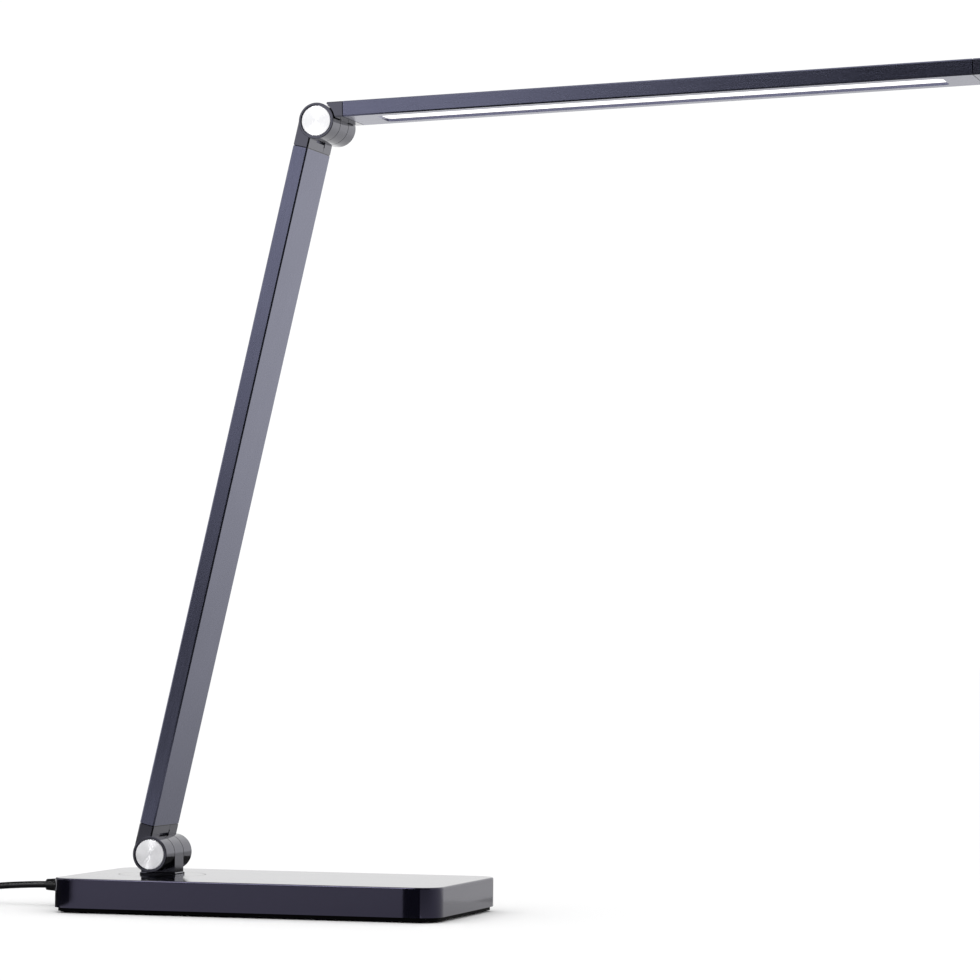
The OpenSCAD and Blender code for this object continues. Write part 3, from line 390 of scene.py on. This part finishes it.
def cast_finish(name, along=None, middle=0, dark=(0.073, 0.073, 0.092),
                light=(0.085, 0.085, 0.106), rough=(0.12, 0.18)):
    """Painted casting. With along given, shade is painted black in the gap round a cap, at
    middle, measured in direction along.
    """
    material = finish(name, dark, light, rough, grain=1400, patch=60, bump=0.04,
                      Metallic=1)
    if along is None:
        return material
    nodes = material.node_tree.nodes
    join = material.node_tree.links.new
    shader = nodes["Principled BSDF"]
    paint = shader.inputs["Base Color"].links[0].from_socket
    # painted shade: the paint's colour goes to black inside the gap's band
    painted_shade = nodes.new("ShaderNodeGroup")
    painted_shade.node_tree = painted_gap_shade
    painted_shade.inputs["Along"].default_value = along
    painted_shade.inputs["Middle"].default_value = middle
    painted_shade.inputs["Half"].default_value = painted_shade_half
    shade = nodes.new("ShaderNodeMix")
    shade.data_type = "RGBA"
    shade.inputs["B"].default_value = (0, 0, 0, 1)
    join(painted_shade.outputs["Mask"], shade.inputs["Factor"])
    join(paint, shade.inputs["A"])
    join(shade.outputs["Result"], shader.inputs["Base Color"])
    return material


dress(cast_finish("cast_post"), "hinge_post")
dress(zinc_steel, "post_screws")
dress(black_wire, "post_wire")
# the caps' materials paint shade black where each meets its tube
dress(cast_finish("cast_arm_lower", arm_along, lower_axle.dot(arm_along) + arm_seam),
      "arm_cap_lower")
dress(cast_finish("cast_arm_upper", arm_along, upper_axle.dot(arm_along) - arm_seam),
      "arm_cap_upper")
dress(cast_finish("cast_head_inner", head_along, upper_axle.dot(head_along) + head_seam),
      "head_cap_inner")
dress(cast_finish("cast_head_outer", head_along,
                  upper_axle.dot(head_along) + head_end_seam, dark=(0.110, 0.112, 0.160),
                  light=(0.125, 0.128, 0.180), rough=(0.22, 0.30)), "head_cap_outer")

# ---------- hinge bolts, nuts, springs and washers ----------
# A shouldered bolt runs through the three knuckles. Cone springs under the nut press
# them on dark friction washers, which hold the lamp at any angle.

friction_disc = finish("friction_disc", (0.004, 0.004, 0.004), (0.009, 0.009, 0.009),
                       (0.55, 0.7), grain=2600, bump=0.2)
dress(zinc_steel, "lower_bolt", "lower_nut", "lower_springs", "upper_bolt", "upper_nut",
      "upper_springs")
dress(friction_disc, "lower_friction", "upper_friction")

# ---------- spun cover discs ----------
# Thin aluminium discs, turned on a lathe and pressed into the outer knuckles. The
# turning marks run round the middle, so light falls on them in wedges.

disc_sides = 128
disc_smooth = math.radians(20)
disc_chamfer = 0.00022
disc_dish = 0.00006
dish_edge = 0.8  # shares of the flat face's radius
dish_floor = 0.4
dimple_r = 0.0004
dimple_floor = 0.3  # share of the dimple's radius
marks_across = 60
marks_height = 0.00005


def turned_group():
    """Lathe marks: roughness and height that change from the middle outwards."""
    group = bpy.data.node_groups.new("turned_marks", "ShaderNodeTree")
    group.interface.new_socket("Marks", in_out="INPUT", socket_type="NodeSocketFloat")
    for name in ("Smooth", "Rough"):
        group.interface.new_socket(name, in_out="INPUT", socket_type="NodeSocketFloat")
    for name in ("Roughness", "Height"):
        group.interface.new_socket(name, in_out="OUTPUT", socket_type="NodeSocketFloat")
    new = group.nodes.new
    join = group.links.new
    given = new("NodeGroupInput")
    made = new("NodeGroupOutput")
    place = new("ShaderNodeTexCoord")
    split = new("ShaderNodeSeparateXYZ")
    count = new("ShaderNodeMath")
    count.operation = "MULTIPLY"
    marks = new("ShaderNodeTexNoise")
    marks.noise_dimensions = "1D"
    marks.inputs["Scale"].default_value = 1
    gloss = new("ShaderNodeMapRange")
    join(place.outputs["UV"], split.inputs["Vector"])
    join(split.outputs["X"], count.inputs[0])
    join(given.outputs["Marks"], count.inputs[1])
    join(count.outputs["Value"], marks.inputs["W"])
    join(marks.outputs["Fac"], gloss.inputs["Value"])
    join(given.outputs["Smooth"], gloss.inputs["To Min"])
    join(given.outputs["Rough"], gloss.inputs["To Max"])
    join(gloss.outputs["Result"], made.inputs["Roughness"])
    join(marks.outputs["Fac"], made.inputs["Height"])
    return group


def spun_metal():
    """Bright aluminium whose marks run round the middle of each disc."""
    material = bpy.data.materials.new("spun_aluminium")
    material.use_nodes = True
    nodes = material.node_tree.nodes
    join = material.node_tree.links.new
    shader = nodes["Principled BSDF"]
    shader.inputs["Base Color"].default_value = (0.97, 0.97, 0.99, 1)
    shader.inputs["Metallic"].default_value = 0.3
    shader.inputs["Anisotropic"].default_value = 0.85
    marks = nodes.new("ShaderNodeGroup")
    marks.node_tree = turned_group()
    marks.inputs["Marks"].default_value = marks_across
    marks.inputs["Smooth"].default_value = 0.32
    marks.inputs["Rough"].default_value = 0.45
    relief = nodes.new("ShaderNodeBump")
    relief.inputs["Strength"].default_value = 0.05
    relief.inputs["Distance"].default_value = marks_height
    outwards = nodes.new("ShaderNodeTangent")
    outwards.direction_type = "UV_MAP"
    outwards.uv_map = "spin"
    join(marks.outputs["Roughness"], shader.inputs["Roughness"])
    join(marks.outputs["Height"], relief.inputs["Height"])
    join(relief.outputs["Normal"], shader.inputs["Normal"])
    join(outwards.outputs["Tangent"], shader.inputs["Tangent"])
    return material


def spun_disc(node):
    """Front disc with a chamfered rim, a slight dish and a dimple in the middle."""
    low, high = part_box(node)
    middle = (low + high) / 2
    radius = (high.x - low.x) / 2
    thickness = high.y - low.y
    face_r = radius - disc_chamfer
    dimple = face_r * dimple_r / radius
    # radius of each ring, and how far it stands off the disc's back
    rings = [(radius, thickness - disc_chamfer), (face_r, thickness),
             (face_r * dish_edge, thickness - disc_dish / 2),
             (face_r * dish_floor, thickness - disc_dish),
             (dimple, thickness - disc_dish),
             (dimple * dimple_floor, thickness - 2 * disc_dish)]
    last_r, last_rise = radius, 0
    bpy.ops.object.select_all(action="DESELECT")
    bpy.ops.mesh.primitive_circle_add(vertices=disc_sides, radius=last_r,
                                      fill_type="NGON",
                                      location=(middle.x, high.y, middle.z),
                                      rotation=(math.pi / 2, 0, 0))
    piece = bpy.context.object
    bpy.ops.object.transform_apply(location=True, rotation=True, scale=True)
    bpy.ops.object.mode_set(mode="EDIT")
    bpy.ops.mesh.select_all(action="SELECT")
    for ring_r, rise in rings:
        bpy.ops.mesh.extrude_region_move(
            TRANSFORM_OT_translate={"value": (0, last_rise - rise, 0)})
        bpy.ops.transform.resize(value=(ring_r / last_r, 1, ring_r / last_r),
                                 center_override=middle)
        last_r, last_rise = ring_r, rise
    bpy.ops.mesh.select_all(action="SELECT")
    bpy.ops.mesh.normals_make_consistent(inside=False)
    bpy.ops.object.mode_set(mode="OBJECT")
    bpy.ops.object.shade_smooth_by_angle(angle=disc_smooth)
    mesh = piece.data
    spin = mesh.uv_layers.new(name="spin")
    for loop in mesh.loops:
        place = mesh.vertices[loop.vertex_index].co
        across = Vector((place.x - middle.x, place.z - middle.z))
        turn = math.atan2(across.y, across.x) / (2 * math.pi) % 1
        spin.data[loop.index].uv = (across.length / radius, turn)
    mesh.materials.append(spun_metal())
    return piece


def moved_disc(disc, start, node, turn):
    """Copy of a disc from one node's place to another's, turned about the vertical."""
    copy = disc.copy()
    copy.data = disc.data.copy()
    bpy.context.scene.collection.objects.link(copy)
    here = Matrix.Translation(sum(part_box(start), Vector()) / 2)
    there = Matrix.Translation(sum(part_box(node), Vector()) / 2)
    copy.data.transform(there @ Matrix.Rotation(turn, 4, "Z") @ here.inverted())
    return copy


first_disc = "lower_disc_front"
discs = {first_disc: spun_disc(first_disc)}
for node, turn in (("lower_disc_rear", math.pi), ("upper_disc_front", 0),
                   ("upper_disc_rear", math.pi)):
    discs[node] = moved_disc(discs[first_disc], first_disc, node, turn)
for node, piece in discs.items():
    piece.name = node + "_spun"
    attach(piece, "arm")
    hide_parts(node)

# ---------- arm ----------
# An extruded aluminium tube, bead-blasted and anodised dark blue-grey. The fine lines
# of its drawing run along it. Screws hold the caps in its ends, and it hides the wire.

draw_stretch = 18


def anodised_tube(name, lay, stretch):
    """Bead-blasted and anodised extrusion. stretch draws out its fine lines."""
    return finish(name, (0.110, 0.114, 0.172), (0.130, 0.134, 0.198), (0.22, 0.30),
                  grain=1500, patch=35, bump=0.04, lay=lay, stretch=stretch, Metallic=1)


dress(anodised_tube("arm_anodised", (0, arm_lean, 0), (1, 1, draw_stretch)), "arm_tube")
dress(zinc_steel, "arm_screws")
dress(black_wire, "arm_wire")

# ---------- head ----------
# The same kind of tube as the arm's, finished in the same way, with a long slot milled
# in its underside for the light.

dress(anodised_tube("head_anodised", (0, -head_rise, 0), (draw_stretch, 1, 1)),
      "head_tube")
dress(zinc_steel, "head_screws")
dress(black_wire, "head_wire")

# ---------- light ----------
# Light-emitting diodes under yellow phosphor sit on a white board behind a milky acrylic
# strip. A moulded white frame between them throws the light down.

milky_acrylic = finish("milky_acrylic", (0.90, 0.89, 0.88), (0.94, 0.93, 0.92),
                       (0.35, 0.45), grain=1200, patch=25, bump=0.03,
                       Emission_Color=(1.0, 0.97, 0.95, 1), Emission_Strength=0.9)
white_plastic = finish("white_plastic", (0.80, 0.80, 0.80), (0.86, 0.86, 0.86),
                       (0.4, 0.5), grain=1800, bump=0.1)
phosphor = finish("phosphor", (0.85, 0.62, 0.14), (0.92, 0.72, 0.22), (0.4, 0.5),
                  grain=4000, Emission_Color=(1.0, 0.93, 0.78, 1), Emission_Strength=2)
dress(milky_acrylic, "diffuser")
dress(white_plastic, "reflector", "led_board")
dress(phosphor, "leds")

# ---------- floor and studio light ----------
# A white floor in a white room. A large softbox stands at the front left, before dark
# cloth, so that the lamp's long faces shade softly from one end to the other.

floor_w = 40
floor_white = finish("floor_white", (0.97, 0.97, 0.97), (0.99, 0.99, 0.99), (0.9, 1.0),
                     grain=40, patch=3, bump=0, Specular_IOR_Level=0)
bpy.ops.object.select_all(action="DESELECT")
bpy.ops.mesh.primitive_plane_add(size=floor_w, location=(0, 0, 0))
floor = bpy.context.object
floor.name = "floor"
floor.data.materials.append(floor_white)

softbox_radiance = 1.4
softbox_w = 1.05
softbox_h = 1.25
softbox_place = (-0.88, -1.9, 0.96)
softbox_data = bpy.data.lights.new("softbox", "AREA")
softbox_data.shape = "RECTANGLE"
softbox_data.size = softbox_w
softbox_data.size_y = softbox_h
softbox_data.energy = softbox_radiance * math.pi * softbox_w * softbox_h
softbox = bpy.data.objects.new("softbox", softbox_data)
softbox.matrix_world = (Matrix.Translation(softbox_place)
                        @ Matrix.Rotation(math.pi / 2, 4, "X"))
softbox.visible_camera = False
bpy.context.scene.collection.objects.link(softbox)

# The studio's cloths, flags and card light nothing: only the lamp's gloss sees them.


def graded_cloth(name, start, end, tones, axis="Y", peak=1.5):
    """Cloth whose brightness changes along one axis, and which has no back.

    tones are pairs: a share of the way from start to end, and a tone up to peak."""
    material = bpy.data.materials.new(name)
    material.use_nodes = True
    nodes = material.node_tree.nodes
    join = material.node_tree.links.new
    nodes.remove(nodes["Principled BSDF"])
    place = nodes.new("ShaderNodeTexCoord")
    split = nodes.new("ShaderNodeSeparateXYZ")
    along = nodes.new("ShaderNodeMapRange")
    along.inputs["From Min"].default_value = start
    along.inputs["From Max"].default_value = end
    grade = nodes.new("ShaderNodeFloatCurve")
    curve = grade.mapping.curves[0]
    for point, (share, tone) in zip(curve.points, (tones[0], tones[-1])):
        point.location = (share, tone / peak)
    for share, tone in tones[1:-1]:
        curve.points.new(share, tone / peak)
    grade.mapping.update()
    glow = nodes.new("ShaderNodeEmission")
    glow.inputs["Color"].default_value = (1, 1, 1, 1)
    strength = nodes.new("ShaderNodeMath")
    strength.operation = "MULTIPLY"
    strength.inputs[1].default_value = peak
    side = nodes.new("ShaderNodeNewGeometry")
    clear = nodes.new("ShaderNodeBsdfTransparent")
    either = nodes.new("ShaderNodeMixShader")
    join(place.outputs["Object"], split.inputs["Vector"])
    join(split.outputs[axis], along.inputs["Value"])
    join(along.outputs["Result"], grade.inputs["Value"])
    join(grade.outputs["Value"], strength.inputs[0])
    join(strength.outputs["Value"], glow.inputs["Strength"])
    join(side.outputs["Backfacing"], either.inputs["Fac"])
    join(glow.outputs["Emission"], either.inputs[1])
    join(clear.outputs["BSDF"], either.inputs[2])
    join(either.outputs["Shader"], nodes["Material Output"].inputs["Surface"])
    return material


def plain_cloth(name, tone, peak=1.5):
    """Cloth of one brightness all over."""
    return graded_cloth(name, 0, 1, [(0, tone), (1, tone)], peak=peak)


def cloth(name, low, high, material, turn=(0, 0, 0)):
    """Plane that only gloss sees, level from corner to corner, and then tilted.

    turn tilts it about its middle, in degrees."""
    middle = [(one + other) / 2 for one, other in zip(low, high)]
    bpy.ops.object.select_all(action="DESELECT")
    bpy.ops.mesh.primitive_plane_add(size=1, location=middle,
                                     rotation=[math.radians(angle) for angle in turn])
    piece = bpy.context.object
    piece.name = name
    piece.scale = (high[0] - low[0], high[1] - low[1], 1)
    bpy.ops.object.transform_apply(location=True, rotation=True, scale=True)
    piece.data.materials.append(material)
    for kind in ("camera", "diffuse", "transmission", "volume_scatter", "shadow"):
        setattr(piece, "visible_" + kind, False)


card_tone = 16
card_white = plain_cloth("card_white", card_tone, peak=card_tone)
near_cloth = plain_cloth("near_cloth", 0.62)
bright_cloth = plain_cloth("bright_cloth", 1.18)
dark_cloth = plain_cloth("dark_cloth", 0.05)

# A bright card, high at the front left, draws the wedges of light on the spun discs.
cloth("card_discs", (-0.82, -1.41, 1.50), (0.08, -0.91, 1.50), card_white, (135, 0, 180))

# Cloths on the floor: in front for the tubes' narrow faces, behind on the left for the
# head's underside, behind on the right for the arm's wide face, and close behind the
# base for the knuckles.
cloth_z = 0.0004
cloth_half = 4
front_y = -0.33
behind_y = 0.33
far_y = 4.0
wall_y = -2.2
left_x = -0.35
right_x = 0.13
front_cloth = graded_cloth("front_cloth", front_y, wall_y,
                           [(0, 0.95), (0.1, 0.72), (0.3, 0.42), (0.6, 0.15), (1, 0.05)])
left_cloth = graded_cloth("left_cloth", behind_y, far_y,
                          [(0, 0.60), (0.2, 0.95), (0.6, 1.35), (1, 1.35)])
right_cloth = graded_cloth("right_cloth", behind_y, far_y,
                           [(0, 0.66), (0.2, 0.86), (0.6, 1.10), (1, 1.18)])
cloth("cloth_front", (-cloth_half, wall_y, cloth_z), (cloth_half, front_y, cloth_z),
      front_cloth)
cloth("cloth_left", (-cloth_half, behind_y, cloth_z), (left_x, far_y, cloth_z),
      left_cloth)
cloth("cloth_right", (left_x, behind_y, cloth_z), (cloth_half, far_y, cloth_z),
      right_cloth)
cloth("cloth_near", (left_x, 0.055, cloth_z), (right_x, behind_y, cloth_z), near_cloth)

# Cloths on the floor for the base's front and right side, and a dark one for the cord.
edge_cloth = graded_cloth("edge_cloth", -0.20, 0.09,
                          [(0, 1.25), (0.35, 1.05), (0.75, 0.9), (1, 0.76)], axis="X")
side_cloth = graded_cloth("side_cloth", -0.30, 0.10,
                          [(0, 0.36), (0.35, 0.50), (0.6, 0.66), (1, 0.82)])
cloth("cloth_edge", (-0.25, front_y, cloth_z), (0.09, -0.055, cloth_z), edge_cloth)
cloth("cloth_side", (0.102, -1.6, 2 * cloth_z), (3, 0.10, 2 * cloth_z), side_cloth)
cloth("cloth_cord", (-0.22, -0.06, cloth_z), (-0.103, 0.12, cloth_z), dark_cloth)

# Flags over the cord and before the base's front right corner, and a dark cloth on the
# base's top for the knuckles and the foot of the arm.
cloth("flag_cord", (-0.22, -0.02, 0.04), (-0.105, 0.10, 0.04), dark_cloth, (180, 0, 0))
cloth("flag_front", (0.076, -0.175, 0.1), (0.095, 0.025, 0.1), dark_cloth, (90, 0, 180))
cloth("cloth_base", (-0.055, -0.053, 0.0174), (0.03, 0.053, 0.0174), dark_cloth)

# Walls of cloth: a dark one behind the softbox, and a bright one far behind the lamp.
cloth("cloth_wall", (-cloth_half, wall_y - 2, 2), (cloth_half, wall_y + 2, 2),
      dark_cloth, (90, 0, 180))
cloth("cloth_back", (-0.3, far_y - 1, 1), (cloth_half, far_y + 1, 1), bright_cloth,
      (90, 0, 0))

# Flags for the head's narrow face and its tip, the arm's bevel, and the base's front
# left corner.
cloth("flag_head", (0.03, -0.22, 0.30), (0.38, -0.02, 0.30), dark_cloth)
cloth("flag_tip", (0.235, -0.22, 0.45), (0.45, -0.03, 0.45), dark_cloth, (180, 0, 0))
cloth("flag_arm", (-0.05, -0.19, 0.21), (0.31, 0.03, 0.21), dark_cloth, (0, -77, -17))
cloth("flag_corner", (-0.140, -0.13, 0.0105), (-0.120, -0.04, 0.0105), dark_cloth,
      (0, 90, 15))

room_tone = 1.03
room = bpy.data.worlds.new("white_room")
bpy.context.scene.world = room
room.use_nodes = True
backdrop = room.node_tree.nodes["Background"]
backdrop.inputs["Color"].default_value = (1, 1, 1, 1)
backdrop.inputs["Strength"].default_value = room_tone
bpy.context.scene.view_settings.view_transform = "Standard"
